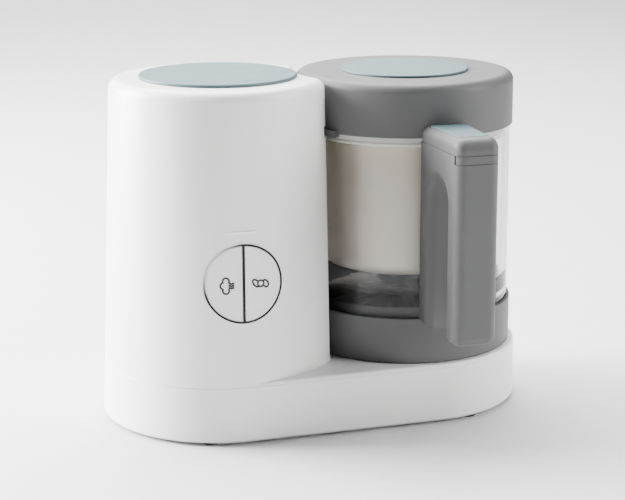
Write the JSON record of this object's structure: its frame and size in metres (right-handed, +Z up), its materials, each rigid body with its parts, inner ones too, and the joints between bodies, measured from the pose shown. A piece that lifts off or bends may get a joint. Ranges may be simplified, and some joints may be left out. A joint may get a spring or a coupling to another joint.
{
  "type": "baby food maker",
  "caption": "Baby food steamer and blender: tapered water tower beside a lidded glass jug with front handle on a shared rounded base.",
  "frame": {"origin": "on the bench, under the middle of the whole object's box", "axes": "+X from the water tower to the jug, -Y is the front with the buttons and handle, +Z up"},
  "size_m": [0.2984, 0.2196, 0.2377],
  "materials": {
    "white_shell": "satin white moulded plastic",
    "grey_plastic": "fine satin mid grey plastic",
    "pale_plastic": "pale blue-green satin plastic",
    "dark_plastic": "dark moulded plastic",
    "bright_trim": "polished metal trim",
    "glass": "clear glass",
    "basket_steel": "satin stainless steel",
    "blade_steel": "ground stainless steel",
    "tank_steel": "drawn stainless steel",
    "seal_silicone": "translucent silicone",
    "black_rubber": "black rubber",
    "machine_steel": "turned steel",
    "laminations": "varnished steel laminations",
    "copper": "enamelled copper windings",
    "bush_bronze": "sintered bronze",
    "cast_aluminium": "die cast aluminium",
    "board_green": "green circuit board"
  },
  "bodies": {
    "root": {"base_tray": "white_shell", "tower_housing": "white_shell", "base_screws": "machine_steel", "rubber_feet": "black_rubber", "cord_gland": "dark_plastic", "button_ring": "bright_trim", "button_chassis": "white_shell", "press_switches": "dark_plastic", "control_board": "board_green", "boiler_tank": "tank_steel", "heater_plate": "cast_aluminium", "thermostats": "dark_plastic", "steam_tube": "seal_silicone", "steam_outlet": "seal_silicone", "motor_frame": "cast_aluminium", "motor_bridge": "cast_aluminium", "motor_stator": "laminations", "motor_coils": "copper", "motor_bushes": "bush_bronze", "brush_holders": "dark_plastic", "motor_mounts": "black_rubber", "drive_belt": "black_rubber", "spindle_housing": "white_shell", "spindle_bearings": "bush_bronze", "interlock_switch": "dark_plastic"},
    "steam_key": {"steam_button": "white_shell"},
    "blend_key": {"blend_button": "white_shell"},
    "water_cap": {"tank_cap": "pale_plastic", "tank_seal": "seal_silicone"},
    "rotor": {"rotor_shaft": "machine_steel", "rotor_core": "laminations", "commutator": "copper", "cooling_fan": "dark_plastic", "motor_pulley": "cast_aluminium"},
    "spindle": {"spindle_shaft": "machine_steel", "spindle_pulley": "dark_plastic", "drive_coupler": "dark_plastic"},
    "turning_seat": {"seat_ring": "white_shell"},
    "interlock": {"interlock_pin": "white_shell"},
    "jug": {"glass_bowl": "glass", "jug_collar": "grey_plastic", "bowl_gasket": "black_rubber", "blade_bush": "dark_plastic", "handle_body": "grey_plastic", "handle_cap": "grey_plastic", "handle_bond": "seal_silicone"},
    "blade": {"blade_shaft": "machine_steel", "blade_hub": "dark_plastic", "chopping_blades": "blade_steel", "blade_dog": "dark_plastic"},
    "basket": {"steam_basket": "basket_steel"},
    "lid": {"lid_shell": "grey_plastic", "lid_liner": "grey_plastic", "lid_gasket": "seal_silicone", "lid_steam_port": "seal_silicone"},
    "lid_stopper": {"lid_cap": "pale_plastic"},
    "handle_pad": {"release_pad": "pale_plastic", "release_spring": "machine_steel"},
    "latch": {"latch_bolt": "dark_plastic"}
  },
  "joints": [
    {"name": "steam_press", "type": "slide", "parent": "root", "child": "steam_key", "axis": [0.0523, 0.9986, 0], "range_m": [0, 0.0012], "stiffness_N_per_m": 900},
    {"name": "blend_press", "type": "slide", "parent": "root", "child": "blend_key", "axis": [0.0523, 0.9986, 0], "range_m": [0, 0.0012], "stiffness_N_per_m": 900},
    {"name": "water_cap_lift", "type": "slide", "parent": "root", "child": "water_cap", "axis": [0, 0, 1], "range_m": [0, 0.045]},
    {"name": "spindle_spin", "type": "hinge", "parent": "root", "child": "spindle", "pos_m": [0.06825, 0.0252, 0.03], "axis": [0, 0, 1], "continuous": true},
    {"name": "rotor_spin", "type": "hinge", "parent": "root", "child": "rotor", "pos_m": [-0.09175, 0.0252, 0.03], "axis": [0, 0, 1], "continuous": true},
    {"name": "jug_twist", "type": "hinge", "parent": "root", "child": "turning_seat", "pos_m": [0.06825, 0.0252, 0.044], "axis": [0, 0, 1], "range_deg": [0, 20]},
    {"name": "interlock_rise", "type": "slide", "parent": "root", "child": "interlock", "axis": [0, 0, 1], "range_m": [0, 0.0015]},
    {"name": "jug_lift", "type": "slide", "parent": "turning_seat", "child": "jug", "axis": [0, 0, 1], "range_m": [0, 0.2]},
    {"name": "blade_spin", "type": "hinge", "parent": "jug", "child": "blade", "pos_m": [0.06825, 0.0252, 0.09], "axis": [0, 0, 1], "continuous": true},
    {"name": "lid_lift", "type": "slide", "parent": "jug", "child": "lid", "axis": [0, 0, 1], "range_m": [0, 0.21]},
    {"name": "basket_lift", "type": "slide", "parent": "jug", "child": "basket", "axis": [0, 0, 1], "range_m": [0, 0.105]},
    {"name": "stopper_lift", "type": "slide", "parent": "lid", "child": "lid_stopper", "axis": [0, 0, 1], "range_m": [0, 0.035]},
    {"name": "pad_press", "type": "slide", "parent": "jug", "child": "handle_pad", "axis": [0, 0, -1], "range_m": [0, 0.002], "stiffness_N_per_m": 700, "deforming": ["release_spring"]},
    {"name": "latch_draw", "type": "slide", "parent": "jug", "child": "latch", "axis": [0, -1, 0], "range_m": [0, 0.002]}
  ],
  "couplings": [
    {"joint": "rotor_spin", "follows": "spindle_spin", "ratio": 4},
    {"joint": "blade_spin", "follows": "spindle_spin", "ratio": 1},
    {"joint": "interlock_rise", "follows": "jug_twist", "m_per_rad": 0.0042929},
    {"joint": "basket_lift", "follows": "lid_lift", "ratio": 0.5},
    {"joint": "latch_draw", "follows": "pad_press", "ratio": 1}
  ]
}
